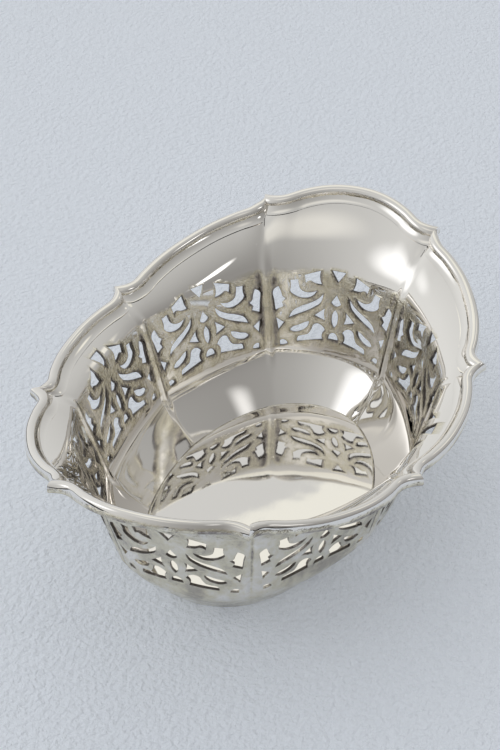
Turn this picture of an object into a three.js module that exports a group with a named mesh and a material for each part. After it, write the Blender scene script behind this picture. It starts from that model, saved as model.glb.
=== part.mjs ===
// A small pierced silver dish: an oval bowl of eight panels raised from one sheet, with a flared
// lip, and eight mitred lengths of moulded wire soldered along its edge.
// Millimetres, +Z up, +X along the dish, origin at the middle of the base on the table.
import * as THREE from 'three';

// Sheet: lengths and widths are measured over the oval through the creases between the panels.
const BASE_LENGTH = 67.4;
const BASE_WIDTH = 42.8;
const BELLY_HEIGHT = 8; // height of the corner that the belly rounds off
const BAND_BOTTOM_LENGTH = 83.9;
const BAND_BOTTOM_WIDTH = 59.7;
const BAND_BOTTOM_HEIGHT = 10.65;
const BAND_TOP_LENGTH = 92.0;
const BAND_TOP_WIDTH = 69.0;
const BAND_TOP_HEIGHT = 25.45;
const LIP_END_REACH = 13.3; // how far the lip flares out beyond the band's top at the ends
const LIP_SIDE_REACH = 7.3; // and at the sides
const LIP_SIDE_HEIGHT = 28.25;
const LIP_END_HEIGHT = 39.05;
const SHEET_THICKNESS = 0.6;
const PANEL_FLATNESS = 0.8; // how far a panel's middle lies inside the oval
const RIB_DEPTH = 0.5; // the crease between two panels, a groove outside and a rib inside
const RIB_HALF_WIDTH = 1.1;
const BRACKET_MIDDLE = 0.9; // the lip's edge lies this far inside the oval at mid panel
const BRACKET_DIP = 2.1; // and this far where it sweeps back before each cusp
const CUSP_SET_BACK = 0.5; // the sheet's own corner stops this far short under the wire's beak

// Moulded wire: a broad outer roll with a low, soft band inside it.
const WIRE_WIDTH = 4.2;
const WIRE_ROLL_HEIGHT = 1.25;
const WIRE_BAND_WIDTH = 1.9;
const WIRE_BAND_HEIGHT = 0.35;
const WIRE_LIP = 0.7; // the roll stands out past the sheet's edge by this
const WIRE_DROP = 0.9; // and hangs this far down beside the edge
const BEAK_LENGTH = 0.3; // the extra reach of two mitred ends at a cusp
const JOINT_GAP = 0.3; // solder line between neighbouring pieces

// Shares of the sizes above.
const PANEL_COUNT = 8;
const FLARE_CONTROL_SHARE = 0.55; // where along its rise the lip leaves the band's slope
const END_SPREAD_SHARE = 0.042; // the end panels widen a little at the lip
const LIP_RISE_SQUARE_SHARE = 0.72; // the lip's rise to the ends, split over two powers
const BASE_FLATNESS_SHARE = 0.3; // how much of the panels' flatness reaches the base
const RIB_START_SHARE = 0.45; // the rib starts at this share of the belly
const BEAK_START_SHARE = 0.78; // the wire widens from here towards each cusp
const halfColumnShares = [0, 0.31, 0.62, 0.8];
const bellyRowShares = [0, 0.25, 0.5, 0.7, 0.85];
const bandRowShares = [0, 0.5, 1];
const lipRowShares = [0, 0.25, 0.5, 0.75, 1];
const LIP_START_SHARE = 1.16; // the plain lip starts above the piercing

// The lip's bracket outline across half a panel: where, then how much of the inset at mid panel, of
// the dip and of the cusp's set back holds there.
const bracketShares = [
  [0, 1, 0, 0], [0.31, 0.9, 0.1, 0], [0.62, 0.4, 0.6, 0], [0.8, 0, 1, 0],
  [0.927, 0, 0.68, 0.32], [1, 0, 0, 1],
];

// The piercing, mirrored in every panel. Each point is [share of the half panel from its middle,
// share of the band's height].
const middleHoleShares = {
  notchShares: [[-0.1, 1.1], [0.1, 1.1], [0, 0.95]],
  lozengeShares: [[0, 0.765], [0.075, 0.645], [0, 0.6], [-0.075, 0.645]],
  ovalShares: [[0, 0.545], [0.04, 0.49], [0.05, 0.42], [0.035, 0.335], [0, 0.29], [-0.035, 0.335],
    [-0.05, 0.42], [-0.04, 0.49]],
  footShares: [[-0.02, 0.21], [0.02, 0.21], [0.08, 0.112], [-0.08, 0.112]],
};
const sideHoleShares = {
  collarShares: [[0.25, 1.075], [0.475, 1.0], [0.455, 0.885], [0.405, 0.92], [0.32, 0.89],
    [0.225, 0.885], [0.25, 0.945]],
  crescentShares: [[0.295, 0.785], [0.37, 0.757], [0.46, 0.757], [0.53, 0.8], [0.55, 0.855],
    [0.56, 0.935], [0.67, 0.92], [0.66, 0.835], [0.67, 0.765], [0.61, 0.705], [0.505, 0.668],
    [0.385, 0.687]],
  leafShares: [[0.2, 0.747], [0.27, 0.672], [0.375, 0.607], [0.52, 0.547], [0.64, 0.473], [0.69, 0.38],
    [0.6, 0.417], [0.46, 0.473], [0.33, 0.543], [0.235, 0.621]],
  thornShares: [[0.16, 0.547], [0.225, 0.497], [0.315, 0.427], [0.235, 0.395], [0.145, 0.367],
    [0.17, 0.445]],
  leafletShares: [[0.395, 0.335], [0.45, 0.32], [0.54, 0.279], [0.64, 0.242], [0.68, 0.2],
    [0.62, 0.173], [0.53, 0.186], [0.45, 0.228], [0.405, 0.279]],
  rootShares: [[0.14, 0.233], [0.2, 0.297], [0.26, 0.316], [0.325, 0.288], [0.355, 0.218],
    [0.4, 0.154], [0.47, 0.13], [0.56, 0.098], [0.57, 0.034], [0.36, 0.066], [0.17, 0.094],
    [0.185, 0.163]],
  shieldShares: [[0.83, 0.835], [0.9, 0.784], [0.895, 0.631], [0.88, 0.492], [0.765, 0.543],
    [0.79, 0.603], [0.735, 0.659], [0.78, 0.691], [0.8, 0.761]],
  wedgeShares: [[0.765, 0.311], [0.875, 0.38], [0.85, 0.209]],
  pipShares: [[0.72, 0.006], [0.79, 0.062], [0.835, 0.048], [0.83, -0.026], [0.775, -0.026]],
};

const silver = { color: 0xc9c6be, roughness: 0.18, metalness: 1 };
const wireSilver = { color: 0xd2cfc6, roughness: 0.2, metalness: 1 };

const half = (length) => length / 2;
const mix = (a, b, t) => a + (b - a) * t;
const smooth = (t) => t * t * (3 - 2 * t);
const clamp01 = (t) => Math.min(1, Math.max(0, t));

// Angles that cut the band's oval into equal arcs, looked up from a fine table.
const ARC_STEP_COUNT = 1440;
const MIN_TURN_SHARE = 1e-6; // how far from straight a corner must be to count as one
const arcTable = (() => {
  const a = half(mix(BAND_BOTTOM_LENGTH, BAND_TOP_LENGTH, 1 / 2));
  const b = half(mix(BAND_BOTTOM_WIDTH, BAND_TOP_WIDTH, 1 / 2));
  const sums = [0];
  for (let i = 1; i <= ARC_STEP_COUNT; i += 1) {
    const t = ((i - 1 / 2) / ARC_STEP_COUNT) * 2 * Math.PI;
    sums.push(sums[i - 1] + Math.hypot(a * Math.sin(t), b * Math.cos(t)));
  }
  return sums.map((sum) => sum / sums[ARC_STEP_COUNT]);
})();

// A ring position counts panels from the middle of the +X panel, and wraps after a full turn.
const wrapRing = (ring) => ((ring % PANEL_COUNT) + PANEL_COUNT) % PANEL_COUNT;

// The oval's angle at a ring position.
function ringAngle(ring) {
  const want = wrapRing(ring) / PANEL_COUNT;
  let low = 0;
  let high = ARC_STEP_COUNT;
  while (high - low > 1) {
    const middle = (low + high) >> 1;
    if (arcTable[middle] <= want) low = middle;
    else high = middle;
  }
  const part = (want - arcTable[low]) / (arcTable[high] - arcTable[low]);
  return ((low + part) / ARC_STEP_COUNT) * 2 * Math.PI;
}

// Semi-axes and height of the sheet's outer face at a level. Levels run from 0 at the base's edge
// to 1 at the band's foot, 2 at its top and 3 at the lip's edge.
function bandSize(v) {
  return {
    a: half(mix(BAND_BOTTOM_LENGTH, BAND_TOP_LENGTH, v)),
    b: half(mix(BAND_BOTTOM_WIDTH, BAND_TOP_WIDTH, v)),
    z: mix(BAND_BOTTOM_HEIGHT, BAND_TOP_HEIGHT, v),
  };
}

function bend(from, control, to, t) {
  const blend = (key) => mix(mix(from[key], control[key], t), mix(control[key], to[key], t), t);
  return { a: blend('a'), b: blend('b'), z: blend('z') };
}

// A tighter bend that keeps closer to the corner.
function roundCorner(from, corner, to, t) {
  const blend = (key) => (1 - t) ** 3 * from[key] + 3 * t * (1 - t) * corner[key]
    + t ** 3 * to[key];
  return { a: blend('a'), b: blend('b'), z: blend('z') };
}

function lipHeight(angle) {
  const square = Math.cos(angle) ** 2;
  const share = mix(square * square, square, LIP_RISE_SQUARE_SHARE);
  return mix(LIP_SIDE_HEIGHT, LIP_END_HEIGHT, share);
}

function levelSize(level, angle) {
  const bandHeight = BAND_TOP_HEIGHT - BAND_BOTTOM_HEIGHT;
  if (level <= 1) {
    const base = { a: half(BASE_LENGTH), b: half(BASE_WIDTH), z: 0 };
    const corner = bandSize((BELLY_HEIGHT - BAND_BOTTOM_HEIGHT) / bandHeight);
    return roundCorner(base, corner, bandSize(0), level);
  }
  if (level <= 2) return bandSize(level - 1);
  const edge = {
    a: half(BAND_TOP_LENGTH) + LIP_END_REACH,
    b: half(BAND_TOP_WIDTH) + LIP_SIDE_REACH,
    z: lipHeight(angle),
  };
  const rise = (edge.z - BAND_TOP_HEIGHT) * FLARE_CONTROL_SHARE;
  return bend(bandSize(1), bandSize(1 + rise / bandHeight), edge, level - 2);
}

// Level of a point given as a share of the band's height: past the band's top it follows the lip
// at the same pace.
function bandLevel(share, angle) {
  if (share <= 1) return 1 + share;
  const rise = (lipHeight(angle) - BAND_TOP_HEIGHT) * FLARE_CONTROL_SHARE;
  const pace = (BAND_TOP_HEIGHT - BAND_BOTTOM_HEIGHT) / (2 * rise);
  return 2 + (share - 1) * pace;
}

// How far the lip's edge lies inside the oval at a share of half a panel.
function bracketInset(u) {
  const lengths = [BRACKET_MIDDLE, BRACKET_DIP, CUSP_SET_BACK];
  const next = Math.max(1, bracketShares.findIndex(([place]) => u <= place));
  const [from, ...fromParts] = bracketShares[next - 1];
  const [to, ...toParts] = bracketShares[next];
  const t = (u - from) / (to - from);
  return lengths.reduce((sum, length, i) => sum + length * mix(fromParts[i], toParts[i], t), 0);
}

// How far the sheet is set out from the oval: panels, ribs and the lip's bracket outline.
function setOut(ring, level) {
  const u = Math.abs(2 * (ring - Math.round(ring)));
  const belly = clamp01(level);
  const flare = clamp01(level - 2);
  const flatness = PANEL_FLATNESS * mix(BASE_FLATNESS_SHARE, 1, belly) * (1 - flare);
  const ribGrowth = clamp01((belly - RIB_START_SHARE) / (1 - RIB_START_SHARE));
  const ribDepth = RIB_DEPTH * ribGrowth * (1 - flare) ** 2;
  const panelHalf = half(panelLength());
  const rib = clamp01(1 - ((1 - u) * panelHalf) / RIB_HALF_WIDTH);
  return -flatness * (1 - u * u) - ribDepth * rib - bracketInset(u) * flare * flare;
}

function panelLength() {
  const a = half(mix(BAND_BOTTOM_LENGTH, BAND_TOP_LENGTH, 1 / 2));
  const b = half(mix(BAND_BOTTOM_WIDTH, BAND_TOP_WIDTH, 1 / 2));
  return (2 * Math.PI * Math.sqrt((a * a + b * b) / 2)) / PANEL_COUNT;
}

// A point on the sheet's outer face.
function outerPoint(ring, level) {
  const flare = clamp01(level - 2);
  const spread = END_SPREAD_SHARE * Math.sin((ring * 4 * Math.PI) / PANEL_COUNT) * flare;
  const angle = ringAngle(ring + spread);
  const { a, b, z } = levelSize(level, angle);
  const normal = new THREE.Vector2(Math.cos(angle) / a, Math.sin(angle) / b).normalize();
  const out = setOut(ring, level);
  return new THREE.Vector3(
    a * Math.cos(angle) + out * normal.x,
    b * Math.sin(angle) + out * normal.y,
    z,
  );
}

// Unit normal of the sheet, pointing into the dish.
const PROBE_SHARE = 0.004;
function inwardNormal(ring, level) {
  const top = Math.min(level + PROBE_SHARE, 3);
  const bottom = Math.max(top - 2 * PROBE_SHARE, 0);
  const along = outerPoint(ring + PROBE_SHARE, level).sub(outerPoint(ring - PROBE_SHARE, level));
  const up = outerPoint(ring, top).sub(outerPoint(ring, bottom));
  return up.cross(along).normalize();
}

function sheetPoint(ring, level, depth) {
  return outerPoint(ring, level).addScaledVector(inwardNormal(ring, level), depth);
}

// Where the floor turns into the belly, the inner face keeps the full thickness on both sides.
function floorEdgePoint(ring) {
  const up = new THREE.Vector3(0, 0, 1);
  const bisector = up.clone().add(inwardNormal(ring, 0));
  const reach = SHEET_THICKNESS / bisector.dot(up);
  return outerPoint(ring, 0).addScaledVector(bisector, reach);
}

// Columns of one panel from crease to crease: the rib's foot lies just inside each crease.
const ribFootShare = 1 - RIB_HALF_WIDTH / half(panelLength());
const innerColumns = [
  ...halfColumnShares.slice(1).reverse().map((u) => -u),
  ...halfColumnShares,
];
const panelColumns = [-1, -ribFootShare, ...innerColumns, ribFootShare];

function ringPositions() {
  const rings = [];
  for (let panel = 0; panel < PANEL_COUNT; panel += 1) {
    for (const u of panelColumns) rings.push(wrapRing(panel + u / 2));
  }
  return rings;
}

// Collects the bowl's two faces. Each vertex is found again by its place on the sheet.
class SheetMesh {
  constructor() {
    this.positions = [];
    this.index = [];
    this.known = new Map();
  }

  vertex(ring, level, inner) {
    const place = wrapRing(ring);
    const key = `${place} ${level} ${inner}`;
    if (!this.known.has(key)) {
      this.known.set(key, this.positions.length / 3);
      const onFloor = inner && level === 0;
      const depth = inner ? SHEET_THICKNESS : 0;
      const point = onFloor ? floorEdgePoint(place) : sheetPoint(place, level, depth);
      this.positions.push(...point);
    }
    return this.known.get(key);
  }

  // A triangle of the outer face and its partner on the inner face.
  pair(corners) {
    const [a, b, c] = corners.map(([ring, level]) => this.vertex(ring, level, false));
    const [d, e, f] = corners.map(([ring, level]) => this.vertex(ring, level, true));
    this.index.push(a, b, c, f, e, d);
  }

  // A patch of both faces between two ring positions and two levels at each.
  patch(from, to, fromLow, fromHigh, toLow, toHigh) {
    this.pair([[from, fromLow], [to, toLow], [to, toHigh]]);
    this.pair([[from, fromLow], [to, toHigh], [from, fromHigh]]);
  }

  // The cut edge of the sheet along one side of a hole or of the rim.
  edge(from, to) {
    const [a, b] = [from, to].map(([ring, level]) => this.vertex(ring, level, false));
    const [c, d] = [from, to].map(([ring, level]) => this.vertex(ring, level, true));
    this.index.push(a, b, d, a, d, c);
  }

  // A flat disc from a middle point to the ring of vertices at the base's edge.
  disc(height, inner, rings) {
    const middle = this.positions.length / 3;
    this.positions.push(0, 0, height);
    rings.forEach((ring, i) => {
      const a = this.vertex(ring, 0, inner);
      const b = this.vertex(rings[(i + 1) % rings.length], 0, inner);
      this.index.push(middle, ...(inner ? [a, b] : [b, a]));
    });
  }
}

// Swaps the diagonals of neighbouring triangles until none is longer and thinner than need be.
function swapDiagonals(points, faces) {
  const turns = ([a, b, c]) => (points[b].x - points[a].x) * (points[c].y - points[a].y)
    - (points[b].y - points[a].y) * (points[c].x - points[a].x);
  const cornerAngle = (at, p, q) => {
    const first = points[p].clone().sub(points[at]);
    const second = points[q].clone().sub(points[at]);
    return Math.acos(first.dot(second) / (first.length() * second.length()));
  };
  const all = faces.map((face) => (turns(face) < 0 ? [face[0], face[2], face[1]] : [...face]));
  let swapped = true;
  for (let round = 0; swapped && round < all.length; round += 1) {
    swapped = false;
    const owners = new Map();
    const touched = new Set();
    all.forEach((face, number) => face.forEach((a, i) => {
      owners.set(`${a} ${face[(i + 1) % 3]}`, [number, face[(i + 2) % 3]]);
    }));
    for (const [key, [number, apex]] of owners) {
      const [a, b] = key.split(' ').map(Number);
      const [other, far] = owners.get(`${b} ${a}`) ?? [-1, -1];
      if (other < 0 || touched.has(number) || touched.has(other)) continue;
      const sum = cornerAngle(apex, a, b) + cornerAngle(far, a, b);
      const first = [apex, a, far];
      const second = [apex, far, b];
      const flat = turns([a, b, apex]) * MIN_TURN_SHARE;
      if (sum > Math.PI + MIN_TURN_SHARE && turns(first) > flat && turns(second) > flat) {
        all[number] = first;
        all[other] = second;
        touched.add(number).add(other);
        swapped = true;
      }
    }
  }
  return all;
}

// The pierced field of one panel as [share of half panel, share of band height] points, the
// triangles between its holes, and the outlines of the holes.
function piercedField() {
  const top = LIP_START_SHARE;
  const bottom = bellyRowShares[bellyRowShares.length - 1] - 1;
  const across = [-ribFootShare, ...innerColumns, ribFootShare];
  const border = [
    ...across.map((u) => [u, bottom]),
    ...bandRowShares.map((v) => [ribFootShare, v]),
    ...across.map((u) => [-u, top]),
    ...[...bandRowShares].reverse().map((v) => [-ribFootShare, v]),
  ];
  const mirrored = (outline) => outline.map(([u, v]) => [-u, v]);
  const sides = Object.values(sideHoleShares);
  const holes = [...Object.values(middleHoleShares), ...sides, ...sides.map(mirrored)];
  const width = half(panelLength());
  const height = BAND_TOP_HEIGHT - BAND_BOTTOM_HEIGHT;
  const flat = (outline) => outline.map(([u, v]) => new THREE.Vector2(u * width, v * height));
  const rounds = holes.map((hole) => (THREE.ShapeUtils.isClockWise(flat(hole)) ? hole
    : [...hole].reverse()));
  const faces = THREE.ShapeUtils.triangulateShape(flat(border), rounds.map(flat));
  const shares = [...border, ...rounds.flat()];
  return { shares, faces: swapDiagonals(flat(shares), faces), holes: rounds };
}

function bowlGeometry() {
  const mesh = new SheetMesh();
  const rings = ringPositions();
  const field = piercedField();
  const place = (panel, [u, v]) => {
    const ring = wrapRing(panel + u / 2);
    return [ring, bandLevel(v, ringAngle(ring))];
  };
  const lipLevel = (ring, share) => {
    const start = bandLevel(LIP_START_SHARE, ringAngle(ring));
    return share === 1 ? 3 : mix(start, 3, share);
  };
  rings.forEach((from, i) => {
    const to = rings[(i + 1) % rings.length];
    bellyRowShares.slice(1).forEach((high, row) => {
      mesh.patch(from, to, bellyRowShares[row], high, bellyRowShares[row], high);
    });
    lipRowShares.slice(1).forEach((high, row) => {
      const levels = [from, to].flatMap((ring) => [
        lipLevel(ring, lipRowShares[row]), lipLevel(ring, high),
      ]);
      mesh.patch(from, to, ...levels);
    });
    mesh.edge([from, 3], [to, 3]);
  });
  const ribShares = [bellyRowShares[bellyRowShares.length - 1] - 1, ...bandRowShares,
    LIP_START_SHARE];
  for (let panel = 0; panel < PANEL_COUNT; panel += 1) {
    for (const [from, to] of [[-1, -ribFootShare], [ribFootShare, 1]]) {
      ribShares.slice(1).forEach((high, row) => {
        const low = ribShares[row];
        const [[start, fromLow], [, fromHigh]] = [[from, low], [from, high]].map(
          (shares) => place(panel, shares),
        );
        const [[end, toLow], [, toHigh]] = [[to, low], [to, high]].map(
          (shares) => place(panel, shares),
        );
        mesh.patch(start, end, fromLow, fromHigh, toLow, toHigh);
      });
    }
    for (const face of field.faces) mesh.pair(face.map((i) => place(panel, field.shares[i])));
    for (const hole of field.holes) {
      hole.forEach((point, i) => {
        const next = hole[(i + 1) % hole.length];
        mesh.edge(place(panel, next), place(panel, point));
      });
    }
  }
  mesh.disc(0, false, rings);
  mesh.disc(SHEET_THICKNESS, true, rings);
  return toGeometry(mesh.positions, mesh.index);
}

function toGeometry(positions, index) {
  const geometry = new THREE.BufferGeometry();
  geometry.setAttribute('position', new THREE.Float32BufferAttribute(positions, 3));
  geometry.setIndex(index);
  geometry.computeVertexNormals();
  return geometry;
}

// The wire's section, outwards along the sheet and up from its inner face.
function wireSection() {
  const inner = WIRE_LIP - WIRE_WIDTH;
  const valley = inner + WIRE_BAND_WIDTH;
  const roll = WIRE_LIP - valley;
  const low = JOINT_GAP;
  const lipInside = WIRE_LIP - (WIRE_LIP - JOINT_GAP);
  return [
    [inner, low],
    [inner, low + WIRE_BAND_HEIGHT / 3],
    [inner + half(WIRE_BAND_WIDTH), low + half(WIRE_BAND_HEIGHT)],
    [valley, low + WIRE_BAND_HEIGHT],
    [valley + roll / 6, low + (WIRE_ROLL_HEIGHT * 5) / 6],
    [valley + roll / 2, low + WIRE_ROLL_HEIGHT],
    [WIRE_LIP - roll / 8, low + (WIRE_ROLL_HEIGHT * 3) / 4],
    [WIRE_LIP, low + WIRE_ROLL_HEIGHT / 4],
    [WIRE_LIP - roll / 10, low - WIRE_DROP - JOINT_GAP],
    [lipInside, low - WIRE_DROP - JOINT_GAP],
    [lipInside, low],
  ];
}

// Frame of the lip's edge: its point, the way out along the sheet and the sheet's normal. Towards
// a cusp the way out turns into the plane in which two lengths of wire meet.
function edgeFrame(panel, u) {
  const ring = panel + u / 2;
  const point = sheetPoint(ring, 3, SHEET_THICKNESS);
  const along = outerPoint(ring + PROBE_SHARE, 3).sub(outerPoint(ring - PROBE_SHARE, 3)).normalize();
  const slope = outerPoint(ring, 3).sub(outerPoint(ring, 3 - PROBE_SHARE)).normalize();
  const turn = smooth(clamp01((Math.abs(u) - BEAK_START_SHARE) / (1 - BEAK_START_SHARE)));
  const square = slope.clone().addScaledVector(along, -slope.dot(along)).normalize();
  return { point, out: square.lerp(slope, turn), normal: inwardNormal(ring, 3), turn };
}

// The frame of a wire's end, half a solder line short of the cusp.
function endFrame(panel, side) {
  const foot = edgeFrame(panel, side * ribFootShare);
  const cusp = edgeFrame(panel, side);
  const share = 1 - half(JOINT_GAP) / cusp.point.distanceTo(foot.point);
  return {
    point: foot.point.lerp(cusp.point, share),
    out: foot.out.lerp(cusp.out, share),
    normal: foot.normal.lerp(cusp.normal, share),
    turn: mix(foot.turn, cusp.turn, share),
  };
}

// One length of wire, from cusp to cusp.
function wireGeometry(panel) {
  const section = wireSection();
  const frames = [
    endFrame(panel, -1),
    ...[-ribFootShare, ...innerColumns, ribFootShare].map((u) => edgeFrame(panel, u)),
    endFrame(panel, 1),
  ];
  const positions = [];
  for (const { point, out, normal, turn } of frames) {
    for (const [across, up] of section) {
      const share = (across - (WIRE_LIP - WIRE_WIDTH)) / WIRE_WIDTH;
      const reach = across + (BEAK_LENGTH + CUSP_SET_BACK) * turn * share * share;
      const direction = out.clone().normalize();
      positions.push(...point.clone().addScaledVector(direction, reach)
        .addScaledVector(normal.clone().normalize(), up));
    }
  }
  const count = section.length;
  const index = [];
  for (let s = 0; s + 1 < frames.length; s += 1) {
    for (let i = 0; i < count; i += 1) {
      const j = (i + 1) % count;
      const a = s * count + i;
      const b = s * count + j;
      index.push(a, b, b + count, a, b + count, a + count);
    }
  }
  const outline = section.map(([x, y]) => new THREE.Vector2(x, y));
  const last = (frames.length - 1) * count;
  for (const face of THREE.ShapeUtils.triangulateShape(outline, [])) {
    const clockwise = THREE.ShapeUtils.isClockWise(face.map((i) => outline[i]));
    const [a, b, c] = clockwise ? face : [...face].reverse();
    index.push(c, b, a);
    index.push(last + a, last + b, last + c);
  }
  return toGeometry(positions, index);
}

function named(name, geometry, look) {
  const mesh = new THREE.Mesh(geometry, new THREE.MeshStandardMaterial(look));
  mesh.name = name;
  return mesh;
}

const wirePlaces = [
  'right_end', 'back_right', 'back', 'back_left', 'left_end', 'front_left', 'front', 'front_right',
];

const dish = new THREE.Group();
dish.add(named('bowl', bowlGeometry(), silver));
wirePlaces.forEach((place, panel) => {
  dish.add(named(`rim_wire_${place}`, wireGeometry(panel), wireSilver));
});

export default dish;
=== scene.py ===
"""Small pierced silver dish: an oval bowl of eight panels with a moulded wire along its lip.

The bowl is one raised and pierced sheet, the rim is eight mitred lengths of wire. Sizes are in
millimetres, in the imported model's frame: +Z up, +X along the dish, origin under its middle. Meshes
are made in metres.
"""
import logging
import math
from collections.abc import Callable
from dataclasses import dataclass, field
from enum import Enum, IntEnum
from functools import cached_property
from typing import Any

import bpy
import numpy as np
from mathutils import Matrix, Vector
from mathutils.geometry import delaunay_2d_cdt


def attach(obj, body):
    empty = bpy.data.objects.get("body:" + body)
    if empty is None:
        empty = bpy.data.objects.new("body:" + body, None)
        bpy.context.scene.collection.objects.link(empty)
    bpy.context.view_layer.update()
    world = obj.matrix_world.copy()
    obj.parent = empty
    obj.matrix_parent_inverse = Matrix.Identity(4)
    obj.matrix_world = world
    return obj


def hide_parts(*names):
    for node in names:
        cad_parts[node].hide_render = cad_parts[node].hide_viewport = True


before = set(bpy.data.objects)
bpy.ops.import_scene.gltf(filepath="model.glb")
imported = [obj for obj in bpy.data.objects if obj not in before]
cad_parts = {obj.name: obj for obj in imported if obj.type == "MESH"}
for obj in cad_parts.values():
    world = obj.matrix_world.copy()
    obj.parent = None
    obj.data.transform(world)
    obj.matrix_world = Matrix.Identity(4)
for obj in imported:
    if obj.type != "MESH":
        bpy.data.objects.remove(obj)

log = logging.getLogger("silver_dish")

MILLIMETRE = 0.001
PANEL_COUNT = 8
TINY = 1e-12  # keeps a division from meeting zero
Outline = list[tuple[float, float]]
Amount = float | np.ndarray
Surface = Callable[[np.ndarray, np.ndarray], np.ndarray]  # points by ring position and level


class Face(Enum):
    """The two faces of the silver sheet, as shares of its thickness from the outer one."""

    OUTER = 0.0
    INNER = 1.0


class Level(IntEnum):
    """Levels up the sheet: the base's edge, the band's foot and top, and the lip's edge."""

    BASE = 0
    BAND = 1
    FLARE = 2
    LIP = 3


class Fill(Enum):
    """What a flat triangulation fills: all round its points, or only inside its edges."""

    AROUND = 0
    INSIDE = 1


class WirePlace(Enum):
    """Lengths of rim wire by the panel whose lip they follow, counter-clockwise from +X."""

    RIGHT_END = 0
    BACK_RIGHT = 1
    BACK = 2
    BACK_LEFT = 3
    LEFT_END = 4
    FRONT_LEFT = 5
    FRONT = 6
    FRONT_RIGHT = 7

    @property
    def node(self) -> str:
        """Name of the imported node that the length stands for."""
        return f"rim_wire_{self.name.lower()}"


def mix(start: Amount, end: Amount, share: Amount) -> Amount:
    """Value at a share of the way from start to end."""
    return start + (end - start) * share


def ease(share: Amount) -> Amount:
    """Share from 0 to 1 with a level start and end."""
    share = np.clip(share, 0.0, 1.0)
    return share * share * (3 - 2 * share)


def unit(vectors: np.ndarray) -> np.ndarray:
    """Vectors along the last axis, scaled to length one."""
    return vectors / np.maximum(np.linalg.norm(vectors, axis=-1, keepdims=True), TINY)


def linear_colour(code: str) -> tuple[float, float, float, float]:
    """Turn an sRGB hex colour into the linear one that Blender's sockets take.

    The numbers are those of the sRGB standard's own curve.

    Args:
        code: Colour such as "#C9C6BE".

    Returns:
        Linear red, green, blue and an alpha of one.
    """
    parts = [int(code.lstrip("#")[i:i + 2], 16) / 255 for i in (0, 2, 4)]
    red, green, blue = (c / 12.92 if c <= 0.04045 else ((c + 0.055) / 1.055) ** 2.4 for c in parts)
    return red, green, blue, 1.0


def add_node(tree: bpy.types.NodeTree, kind: str, inputs: dict[str | int, Any] | None = None,
             **settings: Any) -> bpy.types.Node:
    """Add one node with its settings, values and links.

    Args:
        tree: Node tree that gets the node.
        kind: Blender's name of the node type.
        inputs: Sockets by name or number, each with a value or with the socket linked to it.
        **settings: Properties of the node itself.

    Returns:
        The new node.
    """
    made = tree.nodes.new(kind)
    for name, value in settings.items():
        setattr(made, name, value)
    for key, value in (inputs or {}).items():
        if isinstance(value, bpy.types.NodeSocket):
            tree.links.new(value, made.inputs[key])
        else:
            made.inputs[key].default_value = value
    return made


def fill_ramp(ramp: bpy.types.Node, stages: tuple[tuple[float, str], ...]) -> None:
    """Give a colour ramp its stops.

    Args:
        ramp: Colour ramp node.
        stages: Place and hex colour of each stop.
    """
    stops = ramp.color_ramp.elements
    while len(stops) < len(stages):
        stops.new(1.0)
    for stop, (place, colour) in zip(stops, stages):
        stop.position, stop.color = place, linear_colour(colour)


def bare_material(name: str) -> bpy.types.Material:
    """Make a material whose node tree is still empty.

    Args:
        name: What the real material is and how it was made.

    Returns:
        The new material.
    """
    material = bpy.data.materials.new(name)
    material.use_nodes = True
    material.node_tree.nodes.clear()
    return material


def link_object(name: str, data: bpy.types.ID) -> bpy.types.Object:
    """Make an object and link it into the scene.

    Args:
        name: Name of the object.
        data: Its mesh, lamp or camera.

    Returns:
        The new object.
    """
    made = bpy.data.objects.new(name, data)
    bpy.context.scene.collection.objects.link(made)
    return made


def stage_mesh(name: str, points: list[tuple[float, ...]], faces: list[tuple[int, ...]],
               material: bpy.types.Material) -> bpy.types.Object:
    """Make a plain mesh of the studio, which isn't part of the dish.

    Args:
        name: Name of the object.
        points: Places in metres.
        faces: Corner numbers of each face.
        material: Its finish.

    Returns:
        The new object.
    """
    mesh = bpy.data.meshes.new(name)
    mesh.from_pydata(points, [], faces)
    mesh.materials.append(material)
    made = link_object(name, mesh)
    return made


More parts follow.
